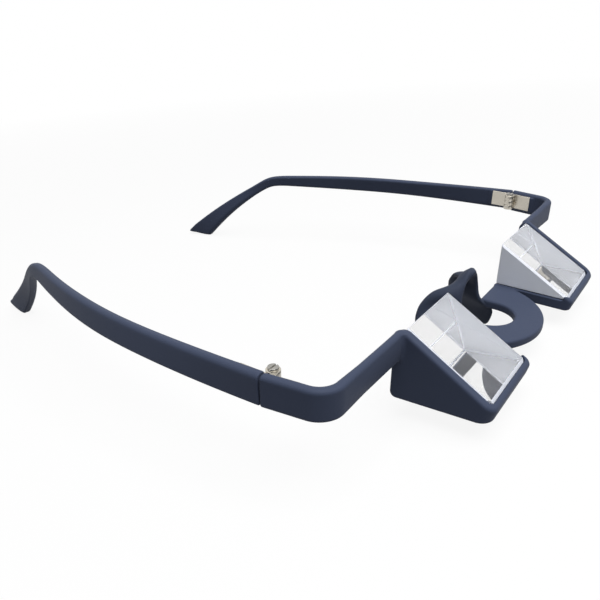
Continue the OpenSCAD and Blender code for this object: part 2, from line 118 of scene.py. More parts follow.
def mouldedSkin(name, look):  # two close tones in soft clouds, with the mould's grain over them
    material, tree = newMaterial(name)
    place = addNode(tree, "ShaderNodeTexCoord").outputs["Object"]
    grain = addNode(tree, "ShaderNodeTexNoise",
                    {"Scale": perMm(look["grain"]), "Detail": 3.0,
                     "Roughness": look["grainRoughness"]}, {"Vector": place})
    cloud = addNode(tree, "ShaderNodeTexNoise", {"Scale": perMm(look["cloud"]), "Detail": 2.0},
                    {"Vector": place})
    tone = addNode(tree, "ShaderNodeMix",
                   {6: linearColour(look["colour"]), 7: linearColour(look["shade"])},
                   {0: cloud.outputs["Fac"]}, data_type="RGBA")
    rough = addNode(tree, "ShaderNodeMapRange",
                    {"From Min": 0.3, "From Max": 0.7, "To Min": look["smoothest"],
                     "To Max": look["roughest"]}, {"Value": grain.outputs["Fac"]})
    bump = addNode(tree, "ShaderNodeBump",
                   {"Strength": look["bump"], "Distance": look["depth"] / 1000},
                   {"Height": grain.outputs["Fac"]})
    shader = addNode(tree, "ShaderNodeBsdfPrincipled",
                     {"IOR": look["ior"], "Specular IOR Level": look["gloss"],
                      "Sheen Weight": look["sheen"], "Sheen Roughness": look["sheenRoughness"]},
                     {"Base Color": tone.outputs[2], "Roughness": rough.outputs["Result"],
                      "Normal": bump.outputs["Normal"]})
    addNode(tree, "ShaderNodeOutputMaterial", {}, {"Surface": shader.outputs[0]})
    return material


def polishedCrownGlass():  # optical crown glass, lapped and polished: clear, sharp reflections
    material, tree = newMaterial("polishedCrownGlass")
    shader = addNode(tree, "ShaderNodeBsdfPrincipled",
                     {"Base Color": linearColour("#ffffff"), "Roughness": 0.0, "IOR": 1.517,
                      "Transmission Weight": 0.97})
    addNode(tree, "ShaderNodeOutputMaterial", {}, {"Surface": shader.outputs[0]})
    return material


def groundCrownGlass():  # the same glass left ground on its ends: it scatters light, milky white
    material, tree = newMaterial("groundCrownGlass")
    place = addNode(tree, "ShaderNodeTexCoord").outputs["Object"]
    # Grinding grit leaves pits of some 0.03 mm, drawn at 0.4 mm
    grit = addNode(tree, "ShaderNodeTexNoise", {"Scale": perMm(0.4), "Detail": 3.0},
                   {"Vector": place})
    rough = addNode(tree, "ShaderNodeMapRange",
                    {"From Min": 0.3, "From Max": 0.7, "To Min": 0.42, "To Max": 0.58},
                    {"Value": grit.outputs["Fac"]})
    bump = addNode(tree, "ShaderNodeBump", {"Strength": 0.3, "Distance": 0.01 / 1000},
                   {"Height": grit.outputs["Fac"]})
    shader = addNode(tree, "ShaderNodeBsdfPrincipled",
                     {"Base Color": linearColour("#f0f4fd"), "IOR": 1.517,
                      "Transmission Weight": 0.1},
                     {"Roughness": rough.outputs["Result"], "Normal": bump.outputs["Normal"]})
    addNode(tree, "ShaderNodeOutputMaterial", {}, {"Surface": shader.outputs[0]})
    return material


def aluminisedFace():  # aluminium film evaporated on the polished base: a mirror from inside
    material, tree = newMaterial("aluminisedFace")
    shader = addNode(tree, "ShaderNodeBsdfPrincipled",
                     {"Base Color": linearColour("#ffffff"), "Metallic": 1.0, "Roughness": 0.0})
    addNode(tree, "ShaderNodeOutputMaterial", {}, {"Surface": shader.outputs[0]})
    return material


def clearGlue():  # acrylic adhesive cured by ultraviolet light: clear, a little yellow
    material, tree = newMaterial("clearAcrylicGlue")
    place = addNode(tree, "ShaderNodeTexCoord").outputs["Object"]
    # The film's thickness, and with it the gloss, wanders over some 3 mm
    cloud = addNode(tree, "ShaderNodeTexNoise", {"Scale": perMm(3), "Detail": 2.0},
                    {"Vector": place})
    rough = addNode(tree, "ShaderNodeMapRange",
                    {"From Min": 0.3, "From Max": 0.7, "To Min": 0.08, "To Max": 0.2},
                    {"Value": cloud.outputs["Fac"]})
    shader = addNode(tree, "ShaderNodeBsdfPrincipled",
                     {"Base Color": linearColour("#f2efe2"), "IOR": 1.49,
                      "Transmission Weight": 0.9},
                     {"Roughness": rough.outputs["Result"]})
    addNode(tree, "ShaderNodeOutputMaterial", {}, {"Surface": shader.outputs[0]})
    return material


def nickelSilver():  # stamped and tumbled nickel silver: warm grey with a satin face
    material, tree = newMaterial("tumbledNickelSilver")
    place = addNode(tree, "ShaderNodeTexCoord").outputs["Object"]
    stretch = addNode(tree, "ShaderNodeMapping", {"Scale": (1.0, 0.25, 1.0)}, {"Vector": place})
    # Tumbling marks are some 0.05 mm wide, drawn at 0.2 mm
    marks = addNode(tree, "ShaderNodeTexNoise",
                    {"Scale": perMm(0.2), "Detail": 4.0, "Roughness": 0.65},
                    {"Vector": stretch.outputs["Vector"]})
    rough = addNode(tree, "ShaderNodeMapRange",
                    {"From Min": 0.3, "From Max": 0.7, "To Min": 0.26, "To Max": 0.42},
                    {"Value": marks.outputs["Fac"]})
    bump = addNode(tree, "ShaderNodeBump", {"Strength": 0.2, "Distance": 0.006 / 1000},
                   {"Height": marks.outputs["Fac"]})
    shader = addNode(tree, "ShaderNodeBsdfPrincipled",
                     {"Base Color": linearColour("#cdc7bb"), "Metallic": 1.0},
                     {"Roughness": rough.outputs["Result"], "Normal": bump.outputs["Normal"]})
    addNode(tree, "ShaderNodeOutputMaterial", {}, {"Surface": shader.outputs[0]})
    return material


def turnedSteel():  # turned stainless steel: cooler and a little darker, fine turning marks
    material, tree = newMaterial("turnedStainlessSteel")
    place = addNode(tree, "ShaderNodeTexCoord").outputs["Object"]
    # The tool's marks are some 0.05 mm apart, drawn at 0.15 mm
    marks = addNode(tree, "ShaderNodeTexNoise", {"Scale": perMm(0.15), "Detail": 3.0},
                    {"Vector": place})
    rough = addNode(tree, "ShaderNodeMapRange",
                    {"From Min": 0.3, "From Max": 0.7, "To Min": 0.22, "To Max": 0.38},
                    {"Value": marks.outputs["Fac"]})
    shader = addNode(tree, "ShaderNodeBsdfPrincipled",
                     {"Base Color": linearColour("#a9a7a2"), "Metallic": 1.0},
                     {"Roughness": rough.outputs["Result"]})
    addNode(tree, "ShaderNodeOutputMaterial", {}, {"Surface": shader.outputs[0]})
    return material


finishes = {
    "paint": mouldedSkin("softTouchPaint", softTouchPaint),
    "elastomer": mouldedSkin("mouldedElastomer", mouldedElastomer),
    "glass": polishedCrownGlass(), "ground": groundCrownGlass(), "mirror": aluminisedFace(),
    "glue": clearGlue(), "leaf": nickelSilver(), "screw": turnedSteel()}
print("materials made:", len(finishes))


def newObject(name, data):
    item = bpy.data.objects.new(name, data)
    bpy.context.scene.collection.objects.link(item)
    return item


def fasten(piece, body, node):
    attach(piece, body)
    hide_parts(node)


def newPiece(name, points, faces, materials, body, node, normals=None, smooth=True):
    mesh = bpy.data.meshes.new(name)
    mesh.from_pydata(onTable(points).tolist(), [], faces)
    for material in materials:
        mesh.materials.append(material)
    mesh.polygons.foreach_set("use_smooth", np.full(len(mesh.polygons), smooth))
    mesh.update()
    if normals is not None:
        mesh.normals_split_custom_set_from_vertices(tilted(normals).tolist())
    piece = newObject(name, mesh)
    fasten(piece, body, node)
    return piece


def mirrored(points, faces):  # the same shape on the other side, with its faces still outwards
    return np.asarray(points) * [-1, 1, 1], [face[::-1] for face in faces]


def tubeFaces(rings, sides):  # quads between rings of points, each closed, and a cap at each end
    i, k = np.meshgrid(np.arange(rings - 1), np.arange(sides), indexing="ij")
    a, b = i * sides + k, i * sides + (k + 1) % sides
    quads = np.stack([a, b, b + sides, a + sides], -1).reshape(-1, 4).tolist()
    return quads + [list(range(sides))[::-1], list(range((rings - 1) * sides, rings * sides))]


def facingOut(piece):  # turns every face of a closed mesh outwards
    shape = bmesh.new()
    shape.from_mesh(piece.data)
    bmesh.ops.recalc_face_normals(shape, faces=shape.faces)
    shape.to_mesh(piece.data)
    shape.free()


def pointsAndFaces(shape):
    shape.verts.index_update()
    points = np.array([v.co for v in shape.verts])
    faces = [[v.index for v in g.verts] for g in shape.faces]
    shape.free()
    return points, faces


def unit(vectors):
    return vectors / np.maximum(np.linalg.norm(vectors, axis=-1, keepdims=True), 1e-6)


# The moulding branches and every edge of it is rounded, so it is drawn as a distance
# field: each part is the largest of the distances to its faces, and parts join with a fillet.
front = {
    "grid": 0.32, "field": ((0, 79.4), (-23.6, 15.9), (-6.1, 15.0)), "settle": 3, "relax": 4,
    # holders
    "inner": 19.2, "wallIn": 43.05, "wallOut": 45.65, "back": 2.2,
    "rimBack": 13.124, "rimAngle": 30, "skirtBack": -5.2, "skirtSlope": 3.4,
    "plateTop": -0.2, "plateBottom": -3.2, "plateBack": 0.33,
    "lipFront": -22.681, "lipBack": -21.281, "lipLean": 0.9, "lipTall": 3.8,
    "peakRadius": 2.4, "heelRadius": 1.6, "outerCorner": 3.0, "innerCorner": 1.7, "edge": 0.85,
    "pocketSide": 43.5, "pocketCorner": 1.3, "pocketEdge": 0.3,
    "hook": 1.5, "hookSlope": 0.9, "hookEdge": 0.3,
    "underCorner": 0.8, "behindCorner": 0.4, "underEdge": 0.5,
    # brow bars and end pieces
    "barTop": 12.9, "barHeight": 7.6, "barThick": 2.5, "barFront": -0.5, "barEdge": 1.0,
    "barSwell": 0.45, "swellPast": 2, "swellRun": 10, "barIn": 1.0, "barInEdge": 1.2,
    "rimRise": 0.05, "rimReach": 5, "cornerX": 70.14, "cornerY": 5.9, "cornerRadius": 6.4,
    "endLean": 8, "hingeX": 72.9, "hingeY": 15.1, "endOut": 4.951, "cornerV": -9.494,
    "splitHalf": 0.2, "splitEdge": 0.3,
    # bosses for the hinge plates
    "bossFace": 1.88, "bossLength": 7.8, "bossSlope": 0.94, "bossNormal": 1.37,
    "bossRound": 0.4, "bossEdge": 1.05, "bossSide": 0.35, "bossFillet": 0.4,
    # bridge plate with its slot
    "bridgeRadius": 20.5, "bridgeY": 1.2, "bridgeBack": 0.3, "bridgeTop": -0.2,
    "bridgeThick": 2.6, "bridgeCorner": 0.4, "bridgeIn": 0.8, "bridgeEdge": 0.75,
    "slotHalf": 7.25, "slotY": -4.5, "bridgeFillet": 0.7,
    # fillet between holder and bar
    "fillet": 1.1, "filletBehind": 0.4, "filletRun": 1.2, "topFillet": 1.4, "topFrom": 11.3}


def inside(a, b, radius):  # both of two distances, with a rounded edge where they meet
    return (np.minimum(np.maximum(a, b), -radius)
            + np.hypot(np.maximum(a + radius, 0), np.maximum(b + radius, 0)))


def cornered(a, b, cosine, radius):  # the same where the planes aren't square to each other
    p, q = a + radius, b + radius
    s, t = (p - cosine * q) / (1 - cosine ** 2), (q - cosine * p) / (1 - cosine ** 2)
    rounded = np.sqrt(np.maximum(s * p + t * q, 0)) - radius
    return np.where((s > 0) & (t > 0), rounded, np.maximum(a, b))


def joined(a, b, radius):  # either of two distances, with a fillet where they meet
    h = np.clip(0.5 + 0.5 * (b - a) / radius, 0, 1)
    return b * (1 - h) + a * h - radius * h * (1 - h)


def holderField(x, y, z):
    # A wedge between the rim plane, the skirt, the back and a leaning front, less the pocket
    # for the prism and the hollows under and behind it
    f = front
    tilt, fall = math.radians(f["rimAngle"]), math.radians(f["skirtSlope"])
    top = (z - f["rimBack"] - y * math.tan(tilt)) * math.cos(tilt)
    skirt = (f["skirtBack"] - (y - f["back"]) * math.tan(fall) - z) * math.cos(fall)
    back = y - f["back"]
    profile = np.maximum(cornered(top, back, -math.sin(tilt), f["peakRadius"]),
                         cornered(skirt, back, -math.sin(fall), f["heelRadius"]))
    lean = f["lipLean"] / f["lipTall"]
    face = (f["lipFront"] - lean * z - y) / math.hypot(1, lean)
    plan = np.maximum(cornered(x - f["wallOut"], face, 0, f["outerCorner"]),
                      cornered(f["inner"] - x, face, 0, f["innerCorner"]))
    holder = inside(profile, plan, f["edge"])
    pocket = cornered(x - f["pocketSide"], f["lipBack"] - y, 0, f["pocketCorner"])
    # The lip turns the corner at its inner end and runs out along the prism
    hook = f["inner"] + f["hook"] - f["hookSlope"] * (y - f["lipBack"]) - x
    pocket = inside(np.maximum(pocket, f["plateTop"] - z), hook / math.hypot(1, f["hookSlope"]),
                    f["hookEdge"])
    holder = inside(holder, -pocket, f["pocketEdge"])
    under = cornered(x - f["wallIn"], z - f["plateBottom"], 0, f["underCorner"])
    behind = cornered(x - f["wallIn"], f["plateBack"] - y, 0, f["behindCorner"])
    return inside(inside(holder, -under, f["underEdge"]), -behind, f["underEdge"])


def barField(x, y, z):
    # Bar, corner and end piece: one rounded section carried along a line in plan, a straight,
    # an arc and a straight that leans by the hinge's angle; u and v run across and along it
    f = front
    t, r = f["barThick"] / 2, f["barEdge"]
    c, s = math.cos(math.radians(f["endLean"])), math.sin(math.radians(f["endLean"]))
    u = (x - f["hingeX"]) * c - (y - f["hingeY"]) * s
    v = (x - f["hingeX"]) * s + (y - f["hingeY"]) * c
    fromBar = np.where(x < f["cornerX"], np.abs(y - f["barFront"] - t), np.inf)
    fromEnd = np.where(v > f["cornerV"], np.abs(u - f["endOut"] + t), np.inf)
    fromArc = np.abs(np.hypot(x - f["cornerX"], y - f["cornerY"]) - f["cornerRadius"] + t)
    aside = np.where((x < f["cornerX"]) | (v > f["cornerV"]), np.minimum(fromBar, fromEnd),
                     fromArc)
    near = np.clip((f["wallOut"] + f["rimReach"] - x) / f["rimReach"], 0, 1)
    rise = f["rimRise"] * near ** 2 * (3 - 2 * near)
    tall = f["barHeight"] / 2 + rise / 2
    middle = f["barTop"] - f["barHeight"] / 2 + rise / 2
    # The bar's faces bulge a little; the end piece is flat, like the temple behind it
    swell = f["barSwell"] * np.clip((f["cornerX"] + f["swellPast"] - x) / f["swellRun"], 0, 1)
    swell = np.minimum(swell * ((z - middle) / tall) ** 2, 2 * f["barSwell"])
    a, b = aside - t + r + swell, np.abs(z - middle) - tall + r
    bar = np.hypot(np.maximum(a, 0), np.maximum(b, 0)) + np.minimum(np.maximum(a, b), 0) - r
    bar = inside(bar, f["wallOut"] - f["barIn"] - x, f["barInEdge"])
    # Boss behind the end piece, with a flat for the hinge plate and a slanted end
    slant = (-f["bossLength"] - v - (u - f["bossFace"]) * f["bossSlope"]) / f["bossNormal"]
    boss = np.maximum(inside(f["bossFace"] - u, slant, f["bossRound"]), u - f["endOut"] + t)
    boss = inside(boss, np.abs(z - middle) - f["barHeight"] / 2 + f["bossEdge"], f["bossSide"])
    return inside(joined(bar, boss, f["bossFillet"]), y - f["hingeY"] + f["splitHalf"],
                  f["splitEdge"])


def bridgeField(x, y, z):  # a half disc cut off at the back, less a slot with a round end
    f = front
    disc = np.hypot(x, y - f["bridgeY"]) - f["bridgeRadius"]
    slot = np.where(y < f["slotY"], np.hypot(x, y - f["slotY"]), x) - f["slotHalf"]
    outline = inside(disc, y - f["bridgeBack"], f["bridgeCorner"])
    outline = inside(outline, -slot, f["bridgeCorner"])
    outline = np.maximum(outline, x - f["inner"] - f["bridgeIn"])
    half = f["bridgeThick"] / 2
    return inside(outline, np.abs(z - f["bridgeTop"] + half) - half, f["bridgeEdge"])


def frontField(x, y, z):  # the same on both sides; the fillet is narrower behind, wider on top
    f = front
    x = np.abs(x)
    ahead = np.clip((f["filletRun"] - y) / f["filletRun"], 0, 1)
    fillet = np.maximum(f["filletBehind"] + (f["fillet"] - f["filletBehind"]) * ahead,
                        f["topFillet"] * np.clip(z - f["topFrom"], 0, 1))
    return joined(joined(holderField(x, y, z), barField(x, y, z), fillet),
                  bridgeField(x, y, z), f["bridgeFillet"])


def gradient(field, points, d=0.02):  # from differences along x, y and z
    x, y, z = points.T
    return np.stack([field(x + d, y, z) - field(x - d, y, z),
                     field(x, y + d, z) - field(x, y - d, z),
                     field(x, y, z + d) - field(x, y, z - d)], -1) / (2 * d)


def settled(field, points):  # moves points along the gradient to the surface, 0.2 mm at most
    g = gradient(field, points)
    step = field(*points.T) / np.maximum((g * g).sum(-1), 0.2)
    return points - g * np.clip(step, -0.2, 0.2)[:, None]


def netSurface(values, low, step):
    # One point in each cell that the surface crosses, at the mean of the crossings on the
    # cell's edges, and one quad round each crossed grid edge
    solid = values < 0
    cells = tuple(n - 1 for n in values.shape)
    count = np.zeros(cells, np.int8)
    for a in (0, 1):
        for b in (0, 1):
            for c in (0, 1):
                count += solid[a:a + cells[0], b:b + cells[1], c:c + cells[2]]
    crossed = np.nonzero((count > 0) & (count < 8))
    number = np.full(cells, -1, np.int64)
    number[crossed] = np.arange(len(crossed[0]))
    place = np.stack(crossed, -1)
    total, hits = np.zeros((len(place), 3)), np.zeros(len(place))
    for axis in range(3):
        for da in (0, 1):
            for db in (0, 1):
                start = place.copy()
                start[:, (axis + 1) % 3] += da
                start[:, (axis + 2) % 3] += db
                end = start.copy()
                end[:, axis] += 1
                one, two = values[tuple(start.T)], values[tuple(end.T)]
                cross = (one < 0) != (two < 0)
                share = np.where(cross, one / np.where(cross, one - two, 1), 0)
                point = start.astype(float)
                point[:, axis] += share
                total += point * cross[:, None]
                hits += cross
    points = np.asarray(low) + step * total / hits[:, None]
    faces = []
    for axis in range(3):
        a, b = (axis + 1) % 3, (axis + 2) % 3
        one = np.take(solid, range(values.shape[axis] - 1), axis)
        two = np.take(solid, range(1, values.shape[axis]), axis)
        edge = np.stack(np.nonzero(one != two), -1)
        edge = edge[(edge[:, a] > 0) & (edge[:, b] > 0)
                    & (edge[:, a] < cells[a]) & (edge[:, b] < cells[b])]
        outward = one[tuple(edge.T)]
        corner = []
        for da, db in ((1, 1), (0, 1), (0, 0), (1, 0)):
            at = edge.copy()
            at[:, a] -= da
            at[:, b] -= db
            corner.append(number[tuple(at.T)])
        quad = np.stack(corner, -1)
        quad[~outward] = quad[~outward][:, ::-1]
        faces.append(quad)
    return points, np.concatenate(faces)


def relaxed(field, points, faces, rounds):
    # Each point goes half way to the middle of its neighbours, within the surface
    pairs = np.concatenate([faces[:, [i, (i + 1) % 4]] for i in range(4)])
    pairs = np.concatenate([pairs, pairs[:, ::-1]])
    neighbours = np.bincount(pairs[:, 0], minlength=len(points))[:, None]
    for _ in range(rounds):
        near = np.stack([np.bincount(pairs[:, 0], points[pairs[:, 1], k], len(points))
                         for k in range(3)], -1) / neighbours
        g = unit(gradient(field, points))
        move = near - points
        move -= g * (move * g).sum(-1)[:, None]
        points = settled(field, points + 0.5 * move)
    return settled(field, points)


def makeFront():
    step = front["grid"]
    x, y, z = (np.arange(low, high, step) for low, high in front["field"])
    half = frontField(x[:, None, None], y[None, :, None], z[None, None, :])
    values = np.concatenate([half[:0:-1], half])
    points, faces = netSurface(values, (-x[-1], y[0], z[0]), step)
    for _ in range(front["settle"]):
        points = settled(frontField, points)
    points = relaxed(frontField, points, faces, front["relax"])
    newPiece("frontMoulding", points, faces.tolist(), [finishes["paint"]], "front",
             "front_frame", unit(gradient(frontField, points)))
    print("front moulding:", len(points), "points")


makeFront()


prism = {
    "inner": 19.95, "outer": 43.35, "height": 12.8, "back": 0.1, "deep": 21.13, "nose": 0.54,
    "topBack": 0.3, "topFront": 0.75, "topSide": 0.55, "under": 0.15, "backCorner": 0.35,
    "frontInner": 1.0, "frontOuter": 1.6}  # from topBack on, the widths of the ground edges


def makePrism(side, node):
    # A wedge with a blunt nose. Each edge is ground off: the plane of the cut lies along the
    # sum of the two faces' normals and passes its width away from the edge on both faces.
    p = prism
    slant = math.atan2(p["height"] - p["nose"], p["deep"] + p["back"])
    slope = np.array([0, -math.sin(slant), math.cos(slant)])
    back, ahead, down = np.array([0, 1, 0]), np.array([0, -1, 0]), np.array([0, 0, -1])
    peak, nose = (0, p["back"], p["height"]), (0, -p["deep"], p["nose"])
    heel, toe = (0, p["back"], 0), (0, -p["deep"], 0)
    shape = bmesh.new()
    for x in (p["inner"], p["outer"]):
        for _, y, z in (heel, peak, nose, toe):
            shape.verts.new((side * x, y, z))
    bmesh.ops.convex_hull(shape, input=shape.verts)
    cuts = [(slope, back, peak, p["topBack"]), (slope, ahead, nose, p["topFront"]),
            (down, back, heel, p["under"]), (down, ahead, toe, p["under"])]
    for way, x, corner in ((-side, side * p["inner"], p["frontInner"]),
                           (side, side * p["outer"], p["frontOuter"])):
        end, shift = np.array([way, 0, 0]), np.array([x, 0, 0])
        cuts += [(end, slope, shift + peak, p["topSide"]), (end, down, shift + heel, p["under"]),
                 (end, back, shift + heel, p["backCorner"]), (end, ahead, shift + toe, corner)]
    for one, two, edge, width in cuts:
        into = two - one * (one @ two)
        bmesh.ops.dissolve_limit(shape, angle_limit=0.01, verts=shape.verts, edges=shape.edges)
        cut = bmesh.ops.bisect_plane(
            shape, geom=shape.verts[:] + shape.edges[:] + shape.faces[:], dist=1e-5,
            plane_co=edge - into / np.linalg.norm(into) * width, plane_no=one + two,
            clear_outer=True)
        rim = [item for item in cut["geom_cut"] if isinstance(item, bmesh.types.BMEdge)]
        bmesh.ops.contextual_create(shape, geom=rim)
    bmesh.ops.recalc_face_normals(shape, faces=shape.faces)
    # Polished on the slope and the back, aluminised below, ground everywhere else
    polished, ground, aluminised = 0, 1, 2
    looks = [aluminised if g.normal.z < -0.99
             else polished if g.normal.y > 0.99 or np.dot(g.normal, slope) > 0.999
             else ground for g in shape.faces]
    points, faces = pointsAndFaces(shape)
    piece = newPiece(("left" if side > 0 else "right") + "Prism", points, faces,
                     [finishes["glass"], finishes["ground"], finishes["mirror"]], "front",
                     node, smooth=False)
    piece.data.polygons.foreach_set("material_index", np.array(looks, np.int32))
    print(piece.name + ":", len(faces), "faces")


makePrism(-1, "right_prism")
makePrism(1, "left_prism")
for name in ("right_prism_glue", "left_prism_glue"):
    glueMesh = frame["nodes"][name].data
    glueMesh.materials.clear()
    glueMesh.materials.append(finishes["glue"])
print("prisms made")


saddle = {
    "top": 10.8, "drop": 9.5, "half": 13.2, "back": 11, "thick": 2.2, "rings": 180, "sides": 64,
    "crowding": 1.25, "reach": 0.9995, "taper": 7, "footWidth": 0.12, "footThick": 0.35,
    "flatWidth": 0.8, "flatThick": 0.7,
    # stations from the crest to a foot: shares of half, of back, and of top or drop
    "frontRow": [(0, 0.09, 1.05), (0.25, 0.11, 0.82), (0.42, 0.12, 0.43),
                 (0.49, -0.01, -0.01), (0.65, -0.37, -0.41), (0.74, -0.37, -1.03)],
    "middleRow": [(0, 0.17, 0.95), (0.29, 0.3, 0.71), (0.57, 0.46, 0.5),
                  (0.62, 0.54, 0.09), (0.79, 0.36, -0.45), (0.9, 0.01, -1.06)],
    "backRow": [(0, 0.4, 0.8), (0.29, 0.52, 0.54), (0.6, 0.86, 0.43),
                (0.83, 1.06, 0.09), (0.96, 1.03, -0.47), (0.93, 0.54, -0.99)]}


def alongRow(row, s):  # a Catmull-Rom curve through a row of stations, mirrored past the crest
    stations = np.array(row, float)
    ghost = stations[1] * [-1, 1, 1]
    stations = np.vstack([ghost, stations, 2 * stations[-1] - stations[-2]])
    u = s * (len(row) - 1)
    i = np.minimum(np.floor(u).astype(int), len(row) - 2)
    t = (u - i)[..., None]
    a, b, c, d = (stations[i + k] for k in range(4))
    return 0.5 * (2 * b + (c - a) * t + (2 * a - 5 * b + 4 * c - d) * t ** 2
                  + (3 * b - a - 3 * c + d) * t ** 3)


def saddleWall(a, t):
    # a runs from one wing's foot over the crest to the other, t from front to back, along a
    # parabola through the three rows
    f, m, b = (alongRow(saddle[name], np.abs(a)) for name in ("frontRow", "middleRow", "backRow"))
    t = t[..., None]
    p = f * (1 - t) * (1 - 2 * t) + m * 4 * t * (1 - t) + b * t * (2 * t - 1)
    side = np.where(a < 0, -1.0, 1.0)
    return np.stack([p[..., 0] * side * saddle["half"], p[..., 1] * saddle["back"],
                     p[..., 2] * np.where(p[..., 2] > 0, saddle["top"], saddle["drop"])], -1)


def saddleNormal(a, t, d=0.004):
    along = saddleWall(np.clip(a + d, -1, 1), t) - saddleWall(np.clip(a - d, -1, 1), t)
    across = saddleWall(a, np.clip(t + d, 0, 1)) - saddleWall(a, np.clip(t - d, 0, 1))
    return unit(np.cross(along, across))


def flattened(v, power):  # bends a sine or cosine so that an oval gets flatter sides
    return np.sign(v) * np.abs(v) ** power


def makeSaddle():
    # A flattened oval section round the wall's middle surface, thinning towards the feet,
    # where the rings crowd together and stop just short of the last station
    q = saddle
    u = 2 * np.arange(q["rings"] + 1) / q["rings"] - 1
    along = np.sign(u) * (1 - (1 - np.abs(u)) ** q["crowding"]) * q["reach"]
    turn = 2 * np.pi * np.arange(q["sides"]) / q["sides"]
    along, turn = np.meshgrid(along, turn, indexing="ij")
    taper = np.sqrt(np.maximum(0, 1 - np.abs(along) ** q["taper"]))
    width = q["footWidth"] + (1 - q["footWidth"]) * taper
    thick = q["footThick"] + (1 - q["footThick"]) * taper
    t = 0.5 + 0.5 * width * flattened(np.cos(turn), q["flatWidth"])
    out = q["thick"] / 2 * thick * flattened(np.sin(turn), q["flatThick"])
    points = saddleWall(along, t) + saddleNormal(along, t) * out[..., None]
    piece = newPiece("noseSaddle", points.reshape(-1, 3), tubeFaces(*along.shape),
                     [finishes["elastomer"]], "front", "nose_saddle")
    facingOut(piece)
    print("nose saddle:", along.size, "points")


makeSaddle()


temple = {
    "length": 153, "thick": 2.6, "tipThick": 3.3, "tipHeight": 8.6, "earStart": 94,
    "earLength": 14, "runSlope": 2.8, "tipSlope": 43, "startX": 76.6, "startY": 15.3,
    "startZ": 9.3, "splitHalf": 0.2, "endEdge": 0.3, "edgeRings": 7, "ringStep": 0.8,
    "tipEnd": 152.6, "tipCut": 47, "tipBulge": 1.1, "tipRound": 0.9, "tipDrop": 0.35,
    "tipDraw": 0.5, "tipRun": 10, "tipRings": 60, "tipCrowding": 0.9, "tipUpright": 0.98,
    "thickFrom": 0.65, "thickRun": 0.26,
    "radii": (1.2, 0.7, 1.9, 0.5), "cornerPoints": 9, "flatPoints": 5,
    # share of the ear bend's fall, by distance past its start in its lengths
    "bend": [(0, 0), (0.07, 0), (0.5, 0.17), (0.93, 0.67), (1.36, 0.75), (1.86, 0.81),
             (3.07, 0.965), (4.3, 1)],
    # degrees inwards, height in mm and degrees of lean, by share of the length
    "heading": [(0, 0), (0.255, 5.3), (0.45, 14.5), (0.607, 19.2), (0.679, 17.4), (0.744, 25),
                (0.823, 23.2), (0.966, 4.2)],
    "heights": [(0, 7.2), (0.222, 6.42), (0.431, 5.94), (0.588, 4.93), (0.653, 4.4),
                (0.731, 3.92), (0.823, 5.07), (0.966, 8.6)],
    "cant": [(0, 0), (0.255, -14), (0.522, -11), (0.679, -9), (0.77, 13.5), (0.862, 12.7),
             (0.979, -8.6)]}


def curveAt(table, s):  # Hermite curve through the rows, slopes from the rows on either side
    table = np.array(table, float)
    last = len(table) - 1
    i = np.clip(np.searchsorted(table[:, 0], s, "right") - 1, 0, last - 1)
    up, down = np.minimum(np.arange(last + 1) + 1, last), np.maximum(np.arange(last + 1) - 1, 0)
    rate = (table[up, 1] - table[down, 1]) / (table[up, 0] - table[down, 0])
    w = table[i + 1, 0] - table[i, 0]
    t = np.clip((s - table[i, 0]) / w, 0, 1)
    return ((2 * t ** 3 - 3 * t ** 2 + 1) * table[i, 1] + (t ** 3 - 2 * t ** 2 + t) * w * rate[i]
            + (3 * t ** 2 - 2 * t ** 3) * table[i + 1, 1] + (t ** 3 - t ** 2) * w * rate[i + 1])


def templeLine(s):
    # The place and the way it runs at distances s from the hinge: the way comes from the fall
    # and the heading there, and the place is their sum, stepped off finely
    q = temple
    fine = np.linspace(q["splitHalf"], q["length"] + 1, 4001)
    middle = (fine[1:] + fine[:-1]) / 2
    bend = curveAt(q["bend"], (middle - q["earStart"]) / q["earLength"])
    fall = np.radians(q["runSlope"] + (q["tipSlope"] - q["runSlope"]) * bend)
    turn = np.radians(curveAt(q["heading"], middle / q["length"]))
    way = np.stack([-np.cos(fall) * np.sin(turn), np.cos(fall) * np.cos(turn),
                    -np.sin(fall)], -1)
    start = np.array([q["startX"], q["startY"], q["startZ"]])
    line = np.vstack([start, start + np.cumsum(way * np.diff(fine)[:, None], 0)])
    place = np.stack([np.interp(s, fine, line[:, k]) for k in range(3)], -1)
    way = np.stack([np.interp(s, middle, way[:, k]) for k in range(3)], -1)
    return place, unit(way), np.radians(curveAt(q["heading"], s / q["length"]))


def templeRing(half, top, under, inset):
    # The section's outline: a quarter circle at each corner, and straight points between
    q = temple
    signs = ((1, 1), (-1, 1), (-1, -1), (1, -1))

    def cornerPoint(i, angle):
        cx, cy = signs[i]
        room = np.minimum((top + under) / 2 - 0.01, half - 0.01)
        r = np.minimum(np.maximum(q["radii"][i] - inset, 0.02), room)
        centre = np.where(cy > 0, top - r, -under + r)
        turn = math.radians(90 * i + angle)
        return cx * (half - r) + r * math.cos(turn), centre + r * math.sin(turn)

    ring = []
    for i in range(4):
        ring += [cornerPoint(i, angle) for angle in np.linspace(0, 90, q["cornerPoints"])]
        fromX, fromY = ring[-1]
        toX, toY = cornerPoint((i + 1) % 4, 0)
        for k in range(1, q["flatPoints"]):
            w = k / q["flatPoints"]
            ring.append((fromX + (toX - fromX) * w, fromY + (toY - fromY) * w))
    return ring


